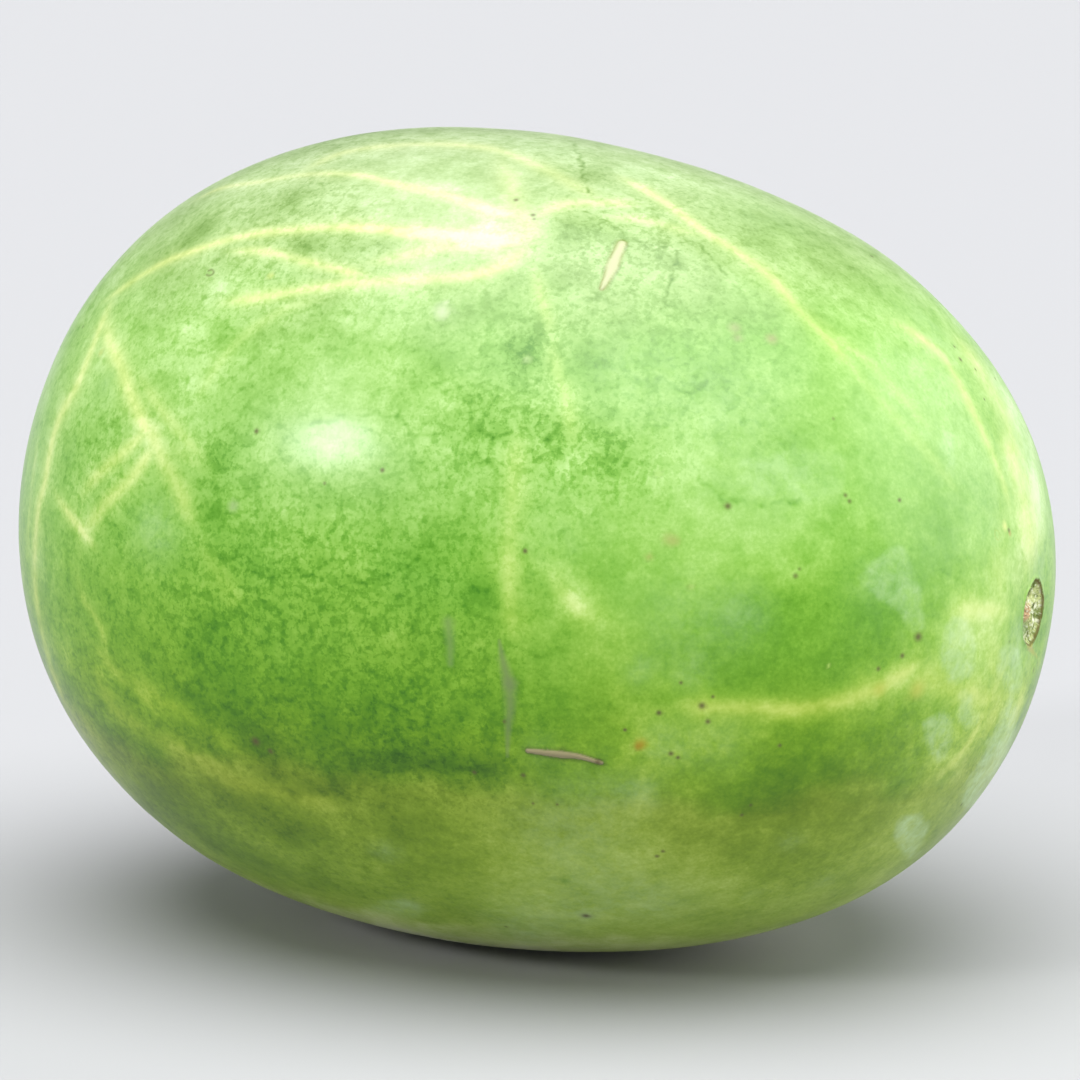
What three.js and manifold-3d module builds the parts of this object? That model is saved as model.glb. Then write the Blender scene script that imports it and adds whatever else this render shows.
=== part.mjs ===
// A whole watermelon of a long, pale, thin-skinned kind, lying on its side.
// It grew as one piece, so it is one solid: an egg-shaped body that is a little slimmer and squarer towards the
// stem, with the round scar where the stem broke off, the small corky button where the flower was, and the flat
// spot that it rests on. Millimetres, +Z up, +X towards the stem scar, origin under the middle on the ground.
import * as THREE from "three";
import { mergeVertices } from "three/addons/utils/BufferGeometryUtils.js";
import Module from "manifold-3d";

const wasm = await Module();
wasm.setup();

// Driving dimensions, in millimetres and degrees
const HALF_LENGTH = 185.6; // from the middle to either end, along the fruit's own axis
const BELLY_RADIUS = 141.4; // of the round section at the middle
const TAPER = 0.056; // share of the radius that the belly loses towards the stem
const BLUNT_ENDS = 0.137; // how much fuller both ends are than an ellipse's
const STEM_SHOULDER = 0.051; // how much fuller again the stem end is
const AXIS_SAG = -2.7; // both ends hang below the middle as the heavy fruit slumps
const STEM_DIP = 2.4; // degrees that the stem end points down, as the fruit has rolled to rest
const TOP_LEAN = -0.011; // share of the radius that the upper side loses at the stem and gains at the flower end
const FOOT_DEPTH = 2.5; // height of skin pressed flat where it rests
// The section isn't a true circle: each row is a number of bulges, their share of the radius, and the angle of
// the first, counted from the +Y side towards the top
const BULGES = [
  { count: 2, share: 0.006, angle: -80 },
  { count: 3, share: 0.0097, angle: 2 },
  { count: 4, share: 0.0063, angle: 23 },
];

// The stem scar and the flower button: [radius, depth below the skin] from the middle outwards
const STEM_SCAR = [
  [0, 2.6],
  [1.6, 2.4],
  [3.2, 1.2],
  [5.6, 0.9],
  [8.2, 1.2],
  [9.8, 2.0],
  [11.2, 0],
];
const FLOWER_BUTTON = [
  [0, 0.5],
  [2.4, 0.6],
  [4.6, 1.3],
  [6.4, 0],
];
const SCAR_SIDES = 36;
const CUTTER_HEIGHT = 12; // how far a cutter stands out of the skin

const SKIN_DIVISIONS = 18; // cuts along each edge of the twenty-sided start of the skin
const MERGE_SHARE = 1e-3; // corners of the start closer than this are one

const RIND_COLOR = 0x93cf58;
const RIND_ROUGHNESS = 0.38;

// A closed solid of a geometry, its seams merged
function solidOf(geometry) {
  geometry.deleteAttribute("normal");
  geometry.deleteAttribute("uv");
  const merged = mergeVertices(geometry);
  return new wasm.Manifold(
    new wasm.Mesh({
      numProp: 3,
      vertProperties: merged.attributes.position.array,
      triVerts: Uint32Array.from(merged.index.array),
    }),
  );
}

function geometryOf(solid) {
  const mesh = solid.getMesh();
  const geometry = new THREE.BufferGeometry();
  geometry.setAttribute("position", new THREE.BufferAttribute(mesh.vertProperties, 3));
  geometry.setIndex(new THREE.BufferAttribute(mesh.triVerts, 1));
  return geometry;
}

// The point of the skin that lies in one direction from the middle: the x of the direction runs along the
// fruit's axis, -1 at the flower end and 1 at the stem end
function skinPoint(direction) {
  const along = direction.x;
  const around = Math.atan2(direction.z, direction.y);
  const fullness = 1 - TAPER * along + BLUNT_ENDS * along ** 2 + STEM_SHOULDER * along ** 3;
  let section = 1 + TOP_LEAN * along * Math.sin(around);
  for (const { count, share, angle } of BULGES) {
    section += share * Math.cos(count * (around - THREE.MathUtils.degToRad(angle)));
  }
  const radius = BELLY_RADIUS * Math.hypot(direction.y, direction.z) * fullness * section;
  return new THREE.Vector3(
    HALF_LENGTH * along,
    radius * Math.cos(around),
    radius * Math.sin(around) + AXIS_SAG * (along ** 2 - 1 / 3),
  );
}

// The egg-shaped body: an even sphere of triangles with each corner moved out to the skin
function body() {
  const sphere = new THREE.IcosahedronGeometry(1, SKIN_DIVISIONS);
  sphere.deleteAttribute("normal");
  sphere.deleteAttribute("uv");
  const skin = mergeVertices(sphere, MERGE_SHARE);
  const corners = skin.attributes.position;
  const direction = new THREE.Vector3();
  for (let i = 0; i < corners.count; i++) {
    direction.fromBufferAttribute(corners, i).normalize();
    corners.setXYZ(i, ...skinPoint(direction));
  }
  return solidOf(skin);
}

// What is taken out of one end of the body for a scar: a turned plug whose inner face is the scar's relief.
// end is 1 for the stem end and -1 for the flower end.
function scarCutter(relief, end) {
  const [rimRadius] = relief.at(-1);
  const outline = relief.map(([radius, depth]) => new THREE.Vector2(radius, -depth));
  outline.push(new THREE.Vector2(rimRadius, CUTTER_HEIGHT), new THREE.Vector2(0, CUTTER_HEIGHT));
  const plug = new THREE.LatheGeometry(outline, SCAR_SIDES);
  plug.rotateZ((-end * Math.PI) / 2);
  const pole = skinPoint(new THREE.Vector3(end, 0, 0));
  plug.translate(pole.x, pole.y, pole.z);
  return solidOf(plug);
}

// The block under the fruit whose top face presses the foot flat
function footBlock(box) {
  const [low, high] = [new THREE.Vector3(...box.min), new THREE.Vector3(...box.max)];
  const block = new THREE.BoxGeometry(high.x - low.x, high.y - low.y, CUTTER_HEIGHT);
  block.translate((low.x + high.x) / 2, (low.y + high.y) / 2, low.z + FOOT_DEPTH - CUTTER_HEIGHT / 2);
  return solidOf(block);
}

function watermelon() {
  const scarred = body().subtract(scarCutter(STEM_SCAR, 1)).subtract(scarCutter(FLOWER_BUTTON, -1));
  const lying = geometryOf(scarred).rotateY(THREE.MathUtils.degToRad(STEM_DIP));
  const tilted = solidOf(lying);
  const geometry = geometryOf(tilted.subtract(footBlock(tilted.boundingBox())));
  geometry.computeBoundingBox();
  const { min, max } = geometry.boundingBox;
  geometry.translate(-(min.x + max.x) / 2, -(min.y + max.y) / 2, -min.z);
  geometry.computeVertexNormals();
  const rind = new THREE.MeshStandardMaterial({ color: RIND_COLOR, roughness: RIND_ROUGHNESS, metalness: 0 });
  const mesh = new THREE.Mesh(geometry, rind);
  mesh.name = "watermelon";
  return mesh;
}

const part = new THREE.Group();
part.add(watermelon());

export default part;
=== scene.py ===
# %% [markdown]
# # A whole watermelon
#
# The real thing is one piece: a large, oblong, pale green watermelon that lies on its side. The packed
# solid gives its size and its egg shape. This lesson dresses that solid in a finished rind: a fine skin
# mesh, the scar where the stem broke off, the button where the flower was, pale veins, green mottling and
# a waxy gloss.

# %% Load the frame
import math

import bpy
import numpy as np
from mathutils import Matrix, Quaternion, Vector, noise
from mathutils.bvhtree import BVHTree
from mathutils.kdtree import KDTree


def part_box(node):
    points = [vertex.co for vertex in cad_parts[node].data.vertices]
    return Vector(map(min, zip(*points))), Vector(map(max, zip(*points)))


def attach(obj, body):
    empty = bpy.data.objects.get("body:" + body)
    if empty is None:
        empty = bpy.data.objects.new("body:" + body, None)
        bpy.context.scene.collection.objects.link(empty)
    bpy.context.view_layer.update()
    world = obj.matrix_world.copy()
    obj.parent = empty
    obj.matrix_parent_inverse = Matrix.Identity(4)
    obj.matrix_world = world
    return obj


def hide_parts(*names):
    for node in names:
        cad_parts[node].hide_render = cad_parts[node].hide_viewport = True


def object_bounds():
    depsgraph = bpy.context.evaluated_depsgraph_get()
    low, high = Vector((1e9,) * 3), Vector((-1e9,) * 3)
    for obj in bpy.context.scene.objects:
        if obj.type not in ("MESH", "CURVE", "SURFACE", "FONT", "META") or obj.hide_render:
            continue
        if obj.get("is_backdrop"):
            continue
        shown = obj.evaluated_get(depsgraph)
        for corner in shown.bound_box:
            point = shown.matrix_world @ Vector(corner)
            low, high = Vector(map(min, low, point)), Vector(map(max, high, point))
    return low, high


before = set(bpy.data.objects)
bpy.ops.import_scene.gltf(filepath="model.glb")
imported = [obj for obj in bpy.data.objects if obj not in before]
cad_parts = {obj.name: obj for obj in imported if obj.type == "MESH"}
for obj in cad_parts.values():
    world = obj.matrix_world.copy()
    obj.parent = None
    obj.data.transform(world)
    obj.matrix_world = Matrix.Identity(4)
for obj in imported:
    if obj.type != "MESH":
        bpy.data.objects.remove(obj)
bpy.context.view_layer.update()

CAD_NODE = "watermelon"
box_low, box_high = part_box(CAD_NODE)
box_middle = (box_low + box_high) / 2
print("the solid measures", [round(side * 1000, 1) for side in box_high - box_low], "mm")

# %% [markdown]
# ## Camera
#
# The camera comes first, because many marks on the rind are placed by where the photograph shows them. It
# looks from the stem's side and a little from above, through a long lens, so the egg shape isn't
# stretched. Its aim is given as a small step from the middle of the fruit, which frames the fruit as the
# photograph does.

# %% Camera at the photo's viewing angle
MM = 0.001
PHOTO_SIDE = 1080
SENSOR_WIDTH = 36.0
LENS = 119.3
CAMERA_AZIMUTH = math.radians(26.6)
CAMERA_ELEVATION = math.radians(10.0)
CAMERA_DISTANCE = 1.251
AIM_RIGHT = 3.6 * MM
AIM_UP = -2.1 * MM

camera_back = Vector((
    math.sin(CAMERA_AZIMUTH) * math.cos(CAMERA_ELEVATION),
    -math.cos(CAMERA_AZIMUTH) * math.cos(CAMERA_ELEVATION),
    math.sin(CAMERA_ELEVATION),
))
camera_right = Vector((math.cos(CAMERA_AZIMUTH), math.sin(CAMERA_AZIMUTH), 0.0))
camera_up = camera_back.cross(camera_right)
aim = box_middle + camera_right * AIM_RIGHT + camera_up * AIM_UP

camera_data = bpy.data.cameras.new("camera")
camera_data.lens = LENS
camera_data.sensor_width = SENSOR_WIDTH
camera = bpy.data.objects.new("camera", camera_data)
bpy.context.scene.collection.objects.link(camera)
camera.location = aim + camera_back * CAMERA_DISTANCE
camera.rotation_euler = (-camera_back).to_track_quat("-Z", "Y").to_euler()
bpy.context.scene.camera = camera
print("camera at", [round(value, 3) for value in camera.location])

# %% [markdown]
# ## A smooth guide for the skin
#
# The solid's faces are flat triangles about 10 mm wide, and the real skin is smooth. A copy of the solid
# is merged, its scar and its button are closed over, and a subdivision surface rounds it. The finished
# rind is then wrapped just inside this guide, which keeps it where the solid is. Modelling the egg by eye
# would drift from it.

# %% Helpers for working as by hand
def pick(thing):
    """Makes one object the only selected and the active one."""
    if bpy.context.object and bpy.context.object.mode != "OBJECT":
        bpy.ops.object.mode_set(mode="OBJECT")
    bpy.ops.object.select_all(action="DESELECT")
    thing.select_set(True)
    bpy.context.view_layer.objects.active = thing


def corners(thing):
    """All corners of a mesh as an array of rows, in metres."""
    flat = np.empty(len(thing.data.vertices) * 3)
    thing.data.vertices.foreach_get("co", flat)
    return flat.reshape(-1, 3)


def place_corners(thing, rows):
    thing.data.vertices.foreach_set("co", np.asarray(rows).ravel())
    thing.data.update()


def edit_corners(thing, chosen):
    """Opens edit mode with the chosen corners selected, and the faces and edges between them."""
    pick(thing)
    mesh = thing.data
    mesh.polygons.foreach_set("select", np.zeros(len(mesh.polygons), bool))
    mesh.edges.foreach_set("select", np.zeros(len(mesh.edges), bool))
    mesh.vertices.foreach_set("select", np.asarray(chosen, bool))
    bpy.ops.object.mode_set(mode="EDIT")
    bpy.ops.mesh.select_mode(type="VERT")


def add_modifier(thing, kind, **settings):
    """Adds a modifier with its settings and applies it."""
    pick(thing)
    modifier = thing.modifiers.new(kind.lower(), kind)
    for name, value in settings.items():
        setattr(modifier, name, value)
    bpy.ops.object.modifier_apply(modifier=modifier.name)


# %% Guide surface from the solid
STEM_DIP = math.radians(2.4)
CLOSED_SCAR = 14 * MM
END_CROWN = 0.9 * MM
AXIS_STEP = Vector((0.2, -1.4, -4.6)) * MM
stem_axis = Vector((math.cos(STEM_DIP), 0.0, -math.sin(STEM_DIP)))
axis_middle = box_middle + AXIS_STEP

pick(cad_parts[CAD_NODE])
bpy.ops.object.duplicate()
guide = bpy.context.object
guide.name = "skin_guide"
guide.parent = None
pick(guide)
bpy.ops.object.mode_set(mode="EDIT")
bpy.ops.mesh.select_all(action="SELECT")
bpy.ops.mesh.remove_doubles(threshold=0.00001)
bpy.ops.object.mode_set(mode="OBJECT")


def distance_from_axis(rows):
    """How far each point is from the line through the fruit's two ends, and how far along it."""
    away = rows - np.array(axis_middle)
    along = away @ np.array(stem_axis)
    return np.linalg.norm(away - np.outer(along, np.array(stem_axis)), axis=1), along


for end in (1, -1):
    off_axis, along = distance_from_axis(corners(guide))
    edit_corners(guide, (off_axis < CLOSED_SCAR) & (along * end > 0))
    bpy.ops.mesh.delete(type="VERT")
    bpy.ops.mesh.select_all(action="DESELECT")
    bpy.ops.mesh.select_non_manifold()
    bpy.ops.mesh.edge_face_add()
    bpy.ops.mesh.poke(offset=END_CROWN)
    bpy.ops.mesh.select_all(action="SELECT")
    bpy.ops.mesh.normals_make_consistent(inside=False)
    bpy.ops.object.mode_set(mode="OBJECT")
add_modifier(guide, "SUBSURF", levels=3, render_levels=3)
add_modifier(guide, "SMOOTH", factor=0.5, iterations=10)
guide_tree = BVHTree.FromObject(guide, bpy.context.evaluated_depsgraph_get())
print("guide has", len(guide.data.vertices), "corners")

# %% [markdown]
# ## Finding a place on the skin
#
# Marks on the side that the photograph shows are named by their pixel there. A ray from the camera
# through that pixel finds the point of the skin. On the hidden side a mark is named by its angle along
# the fruit, from the stem end, and its angle around it. Both give a real point on the surface, so no mark
# floats.

# %% From a pixel or an angle to the skin
FOCAL_PIXELS = LENS / SENSOR_WIDTH * PHOTO_SIDE
PIXEL = CAMERA_DISTANCE / FOCAL_PIXELS


def skin_at_pixel(x, y):
    """The point of the skin under a pixel of the photograph, or None beside the fruit."""
    ray = camera_right * (x - PHOTO_SIDE / 2) + camera_up * (PHOTO_SIDE / 2 - y)
    ray -= camera_back * FOCAL_PIXELS
    return guide_tree.ray_cast(camera.location, ray.normalized())[0]


def skin_at_angle(along, around):
    """The skin at an angle in degrees from the stem end, and around the fruit from the +Y side upwards."""
    lean, turn = math.radians(along), math.radians(around)
    across = Vector((0.0, 1.0, 0.0))
    upward = stem_axis.cross(across)
    side = across * math.cos(turn) + upward * math.sin(turn)
    toward = stem_axis * math.cos(lean) + side * math.sin(lean)
    point, normal, _, _ = guide_tree.ray_cast(axis_middle, toward)
    return point, normal


def smooth_route(points, step):
    """Points a step apart along one smooth curve through the given points of the photograph."""
    p = np.array(points, float)
    p = np.vstack([2 * p[0] - p[1], p, 2 * p[-1] - p[-2]])
    path = []
    for a, b, c, d in zip(p, p[1:], p[2:], p[3:]):
        count = max(2, int(np.linalg.norm(c - b) / step))
        t = np.linspace(0, 1, count, endpoint=False)[:, None]
        path.append(b + t * (c - a) / 2 + t**2 * (a - 2.5 * b + 2 * c - d / 2)
                    + t**3 * (1.5 * (b - c) + (d - a) / 2))
    return np.vstack([*path, p[-2]])


def route_on_skin(points, step=3):
    """The 3-D points of a route given in pixels; pixels beside the fruit are dropped."""
    hits = [skin_at_pixel(x, y) for x, y in smooth_route(points, step)]
    return np.array([hit for hit in hits if hit])


def spot_on_skin(x, y):
    return np.array(skin_at_pixel(x, y))


print("the middle of the view meets the skin at", [round(v, 4) for v in skin_at_pixel(540, 540)])

# %% [markdown]
# ## Veins
#
# Pale yellow veins run over the skin and meet in two knots, one near the top and one near the flower end.
# They could be a procedural pattern, but then none would lie where the photograph shows it. So each
# visible vein is a listed route of pixels that is cast onto the skin.

# %% Vein routes that the photo shows
# Each vein is its half width in millimetres, its strength from 0 to 1, and its route in pixels
VEINS = [
    (1.9, 0.7, [(190, 202), (220, 188), (259, 181), (305, 174), (355, 174), (403, 185), (442, 193),
                (484, 207), (530, 220)]),
    (3.0, 0.55, [(300, 172), (346, 151), (415, 143), (484, 147), (520, 158), (560, 176), (600, 200)]),
    (3.6, 0.4, [(498, 150), (509, 180), (518, 207), (530, 226), (528, 250)]),
    (2.1, 1.0, [(99, 303), (127, 284), (158, 265), (188, 252), (241, 236), (299, 229), (357, 227),
                (415, 232), (472, 236), (507, 241), (532, 232)]),
    (1.9, 0.9, [(225, 250), (264, 251), (299, 259), (346, 271), (376, 277)]),
    (2.8, 0.5, [(360, 264), (396, 257), (438, 248), (480, 243), (520, 240)]),
    (2.4, 0.8, [(218, 302), (253, 298), (299, 290), (357, 282), (415, 279), (472, 275), (505, 264),
                (528, 244)]),
    (3.2, 1.0, [(104, 310), (106, 333), (118, 363), (131, 397), (143, 424), (158, 450)]),
    (3.6, 0.85, [(136, 408), (152, 436), (163, 461), (177, 486), (186, 509), (196, 530)]),
    (2.8, 0.28, [(198, 532), (214, 565), (228, 590), (240, 618)]),
    (2.4, 0.6, [(136, 373), (156, 403), (177, 430), (209, 467)]),
    (3.0, 0.45, [(158, 440), (180, 452), (214, 474)]),
    (3.0, 0.8, [(158, 425), (150, 428), (123, 452), (97, 475), (77, 500)]),
    (3.2, 0.85, [(162, 438), (150, 452), (127, 483), (106, 502), (88, 526), (82, 540)]),
    (2.1, 1.0, [(51, 489), (66, 512), (86, 537), (97, 552)]),
    (3.3, 0.95, [(112, 296), (104, 315), (88, 355), (76, 385), (60, 416), (51, 443), (45, 479), (38, 508),
                (34, 554), (36, 602), (48, 659), (67, 711)]),
    (1.8, 0.5, [(38, 436), (32, 480), (28, 520), (27, 562)]),
    (1.7, 0.7, [(73, 573), (84, 602), (100, 627), (107, 661)]),
    (2.6, 0.5, [(90, 642), (113, 670), (131, 686), (148, 701), (168, 715)]),
    (4.0, 0.45, [(99, 654), (128, 679), (162, 699), (194, 719), (231, 746), (268, 768)]),
    (4.6, 0.6, [(93, 668), (112, 708), (148, 734), (180, 749), (215, 770), (236, 783), (291, 797),
                (339, 805)]),
    (2.8, 0.55, [(530, 218), (564, 204), (610, 202), (644, 204)]),
    (2.4, 0.4, [(600, 216), (646, 220), (680, 229), (710, 236)]),
    (2.3, 0.8, [(618, 175), (653, 194), (680, 212), (710, 234), (738, 251), (772, 277), (797, 307),
                (829, 339), (852, 367)]),
    (2.3, 0.35, [(840, 352), (890, 410), (930, 455), (962, 497)]),
    (2.4, 0.3, [(780, 290), (830, 330), (880, 372), (936, 436)]),
    (2.9, 0.75, [(891, 320), (923, 338), (948, 362), (964, 391), (980, 424), (995, 458), (1007, 491),
                (1013, 516)]),
    (7.5, 0.7, [(950, 330), (975, 362), (1000, 405), (1018, 450), (1030, 500), (1036, 545)]),
    (2.0, 0.65, [(533, 264), (540, 293), (548, 321), (551, 337)]),
    (2.2, 0.5, [(551, 337), (557, 370), (566, 400), (574, 450)]),
    (3.3, 0.55, [(518, 430), (514, 470), (511, 515), (509, 560), (510, 605), (513, 645)]),
    (2.2, 0.3, [(196, 402), (215, 368), (243, 336), (285, 308), (330, 296)]),
    (2.6, 0.4, [(548, 570), (562, 592), (583, 613), (604, 622)]),
    (3.3, 0.85, [(676, 706), (730, 708), (791, 709), (830, 704), (859, 696), (888, 683), (912, 669),
                (930, 664)]),
    (4.6, 0.6, [(900, 676), (930, 678), (955, 690), (1000, 696), (1022, 688)]),
    (2.0, 0.45, [(990, 700), (974, 735), (957, 759), (930, 786)]),
    (3.4, 0.7, [(946, 610), (975, 609), (1000, 611), (1022, 616)]),
    (6.0, 0.35, [(1006, 490), (1004, 540), (1000, 575), (1006, 606)]),
    (9.0, 0.85, [(1004, 420), (1020, 475), (1030, 525), (1036, 570)]),
    (6.0, 0.6, [(990, 640), (1000, 670), (996, 710), (980, 750)]),
    (5.0, 0.5, [(1035, 640), (1030, 670), (1022, 700), (1010, 735)]),
]
veins = [(half_width * MM, strength, route_on_skin(points)) for half_width, strength, points in VEINS]
print(len(veins), "veins in view, with", sum(len(route) for _, _, route in veins), "points on the skin")

# %% [markdown]
# The far side isn't in the photograph, so its veins follow a rule. Each vein that runs out of view goes
# on over the edge, and three more knots send out veins of their own. A vein walks over the skin in small
# steps and turns a little at each, by a seeded draw, so that it comes out the same on every run.

# %% Veins on the hidden side
SEED = 27
VEIN_STEP = 3 * MM
EDGE_OF_VIEW = 0.22
HIDDEN_KNOTS = [(72, 38), (122, 22), (98, -42)]
VEINS_PER_KNOT = 4
KNOT_REACH = 9 * MM
# Hidden veins, in millimetres: lengths past the edge of the view and both ways from a knot, and half widths
GOES_ON = (90, 170)
RUNS_AHEAD = (40, 190)
RUNS_BACK = (10, 120)
HIDDEN_HALF_WIDTH = (1.9, 3.4)
HIDDEN_STRENGTH = (0.45, 1.0)
FEWEST_STEPS = 12
BEND_KEPT = 0.85
BEND_ADDED = 0.010
draw = np.random.default_rng(SEED)


def in_view(normal):
    """1 where the skin faces the camera, 0 on the outline and less than 0 on the hidden side."""
    return normal.dot(camera_back)


def walk(start, heading, length):
    """A route over the hidden skin from a point, which stops where it would come back into view."""
    point, normal, _, _ = guide_tree.find_nearest(start)
    bend = 0.0
    route = []
    for _ in range(int(length / VEIN_STEP)):
        bend = BEND_KEPT * bend + draw.normal(0, BEND_ADDED)
        heading = Quaternion(normal, bend) @ heading
        heading = (heading - normal * heading.dot(normal)).normalized()
        point, normal, _, _ = guide_tree.find_nearest(point + heading * VEIN_STEP)
        if in_view(normal) > EDGE_OF_VIEW:
            break
        route.append(np.array(point))
    return route


def beyond_view(route):
    """The route with each end that lies at the edge of the view carried on over the hidden side."""
    for _ in range(2):
        route = route[::-1]
        _, normal, _, _ = guide_tree.find_nearest(Vector(route[-1]))
        if in_view(normal) < EDGE_OF_VIEW:
            heading = Vector(route[-1] - route[-4])
            route = np.array([*route, *walk(Vector(route[-1]), heading, draw.uniform(*GOES_ON) * MM)])
    return route


veins = [(half_width, strength, beyond_view(route)) for half_width, strength, route in veins]
for along, around in HIDDEN_KNOTS:
    knot, normal = skin_at_angle(along, around)
    first = draw.uniform(0, math.pi)
    for line in range(VEINS_PER_KNOT):
        angle = first + (line + draw.uniform(-0.3, 0.3)) * math.pi / VEINS_PER_KNOT
        heading = Quaternion(normal, angle) @ normal.orthogonal()
        start = knot + heading.cross(normal) * draw.uniform(-KNOT_REACH, KNOT_REACH)
        ahead = walk(start, heading, draw.uniform(*RUNS_AHEAD) * MM)
        behind = walk(start, -heading, draw.uniform(*RUNS_BACK) * MM)
        route = np.array([*behind[::-1], *ahead])
        if len(route) > FEWEST_STEPS:
            half_width = draw.uniform(*HIDDEN_HALF_WIDTH) * MM
            veins.append((half_width, draw.uniform(*HIDDEN_STRENGTH), route))
print(len(veins), "veins in all, with", sum(len(route) for _, _, route in veins), "points on the skin")

# %% [markdown]
# ## Small marks
#
# Rubs, cracks, specks of soil, a straw and a bit of twig dried onto the skin. They are shallow relief and
# paint on the one skin, because none is a piece that the fruit is made of. All are placed by their pixel.

# %% Marks that the photo shows
SOIL_BROWN = (84, 74, 44)
RUB_GREY = (112, 134, 78)
# Soft dark green cracks: half width in millimetres, depth of the green from 0 to 1, and route in pixels
CRACKS = [
    (0.7, 0.9, [(573, 142), (582, 165), (588, 192)]),
    (0.5, 0.7, [(571, 206), (598, 216), (626, 232), (654, 250)]),
    (0.6, 0.8, [(678, 243), (673, 275), (660, 310)]),
    (0.5, 0.7, [(652, 250), (678, 243), (699, 243), (726, 275), (748, 300)]),
    (0.9, 0.4, [(312, 424), (345, 418), (376, 414), (399, 419), (411, 431), (413, 454)]),
    (0.9, 0.35, [(411, 437), (430, 435), (447, 434)]),
    (0.8, 0.3, [(360, 422), (372, 432), (388, 440)]),
    (0.8, 0.35, [(396, 417), (402, 405)]),
    (0.7, 0.6, [(256, 570), (262, 576), (290, 578), (318, 572)]),
    (0.7, 0.5, [(340, 576), (351, 581), (376, 580), (405, 567), (418, 557)]),
    (0.8, 0.5, [(640, 380), (655, 372), (668, 384), (690, 392), (707, 382)]),
    (0.7, 0.5, [(470, 420), (492, 436), (520, 428), (545, 440), (560, 425)]),
    (0.7, 0.45, [(545, 440), (556, 462), (548, 480)]),
    (0.7, 0.45, [(492, 436), (488, 462), (505, 478)]),
    (0.8, 0.45, [(700, 480), (725, 497), (760, 505), (800, 500)]),
    (0.8, 0.18, [(905, 545), (925, 560), (950, 575), (975, 590)]),
    (1.8, 0.25, [(290, 794), (345, 790), (390, 772), (430, 766), (490, 772), (520, 770)]),
]
# Thin crisp lines: half width in millimetres, colour and route
LINES = [
    (0.5, SOIL_BROWN, [(1034, 578), (1034, 563), (1039, 550)]),
    (0.45, SOIL_BROWN, [(206, 274), (209, 275), (213, 272), (211, 269), (208, 270)]),
    (0.3, (170, 160, 60), [(996, 530), (999, 531), (1001, 536), (999, 540), (996, 536), (996, 530)]),
]
# Rubs: route in pixels, half width in millimetres at both ends, and colour
RUBS = [
    ([(499, 641), (503, 662), (509, 684)], 0.7, 2.6, RUB_GREY),
    ([(509, 684), (510, 708), (508, 726), (507, 757)], 2.6, 0.7, RUB_GREY),
    ([(448, 622), (450, 645), (450, 664)], 2.2, 1.3, (112, 146, 72)),
]
# Dried-on bits: route in pixels, half width at both ends, height in millimetres, colour and edge colour.
# The edge colour is a dark rim, partly the bit's own edge and partly painted shadow round it
BITS = [
    ([(622, 243), (617, 254), (612, 267)], 1.35, 1.7, 0.4, (172, 178, 134), (122, 118, 62)),
    ([(612, 267), (607, 278), (602, 288)], 1.7, 0.6, 0.4, (172, 178, 134), (122, 118, 62)),
    ([(528, 751), (545, 753), (562, 755)], 0.9, 1.3, 0.7, (142, 134, 98), (66, 80, 30)),
    ([(562, 755), (580, 757), (601, 763)], 1.3, 0.7, 0.7, (142, 134, 98), (66, 80, 30)),
]
# Specks: pixel and radius in millimetres
SPECKS = [
    (256, 431, 1.0), (382, 470, 0.9), (324, 483, 0.7), (525, 551, 0.9), (728, 506, 1.2), (846, 495, 0.8),
    (850, 501, 0.8), (834, 418, 0.7), (796, 576, 1.0), (800, 569, 0.7), (919, 637, 1.6), (903, 656, 1.0),
    (879, 669, 0.9), (681, 683, 0.7), (702, 706, 1.3), (708, 722, 1.0), (671, 754, 1.0), (625, 730, 0.7),
    (659, 713, 1.0), (657, 857, 0.9), (663, 852, 0.8), (474, 773, 0.9), (523, 776, 1.0), (533, 804, 0.6),
    (557, 805, 0.6), (780, 746, 0.8), (955, 346, 0.7), (961, 359, 1.0), (976, 369, 0.7), (996, 378, 0.8),
    (985, 399, 0.6), (900, 500, 0.8), (1010, 530, 0.9), (586, 917, 1.4), (506, 928, 0.8), (504, 722, 0.8),
    (516, 199, 1.0), (533, 214, 1.0), (534, 218, 0.8), (1039, 663, 0.8), (1035, 670, 0.9),
    (1011, 642, 0.7), (713, 697, 0.7), (678, 758, 0.8), (962, 805, 0.7), (742, 816, 0.8), (751, 806, 0.7),
    (872, 256, 0.8), (255, 742, 1.8), (270, 752, 1.2), (82, 326, 0.7), (598, 762, 1.2),
]
# Soft smudges: pixel, radius in millimetres and colour
SMUDGES = [
    (441, 309, 2.6, (176, 190, 148)), (443, 314, 2.2, (176, 190, 148)), (446, 302, 1.0, (176, 190, 148)),
    (527, 359, 1.3, (170, 190, 130)), (829, 666, 0.8, (190, 220, 110)), (735, 327, 2.0, (140, 146, 100)),
    (738, 337, 1.5, (140, 146, 100)), (772, 338, 1.9, (146, 140, 98)), (669, 539, 2.0, (152, 160, 88)),
    (675, 541, 1.6, (152, 160, 88)), (649, 557, 1.2, (150, 156, 84)), (641, 744, 1.9, (172, 140, 24)),
    (638, 747, 1.3, (158, 108, 16)), (658, 474, 1.2, (150, 186, 96)), (691, 587, 1.0, (140, 160, 80)),
    (233, 506, 1.8, (146, 168, 116)), (586, 917, 2.2, (120, 134, 104)), (564, 882, 1.6, (92, 140, 40)),
    (1006, 526, 1.6, (216, 220, 140)), (1011, 533, 1.0, (176, 138, 84)), (918, 690, 3.0, (186, 190, 84)),
    (880, 690, 2.4, (178, 186, 72)), (270, 275, 1.4, (176, 186, 100)), (100, 352, 1.4, (176, 184, 100)),
]


def on_screen(colour):
    """A colour given as on a screen, from 0 to 255, in the linear values that shaders use."""
    shares = np.array(colour) / 255
    return np.where(shares < 0.04045, shares / 12.92, ((shares + 0.055) / 1.055) ** 2.4)
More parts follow.
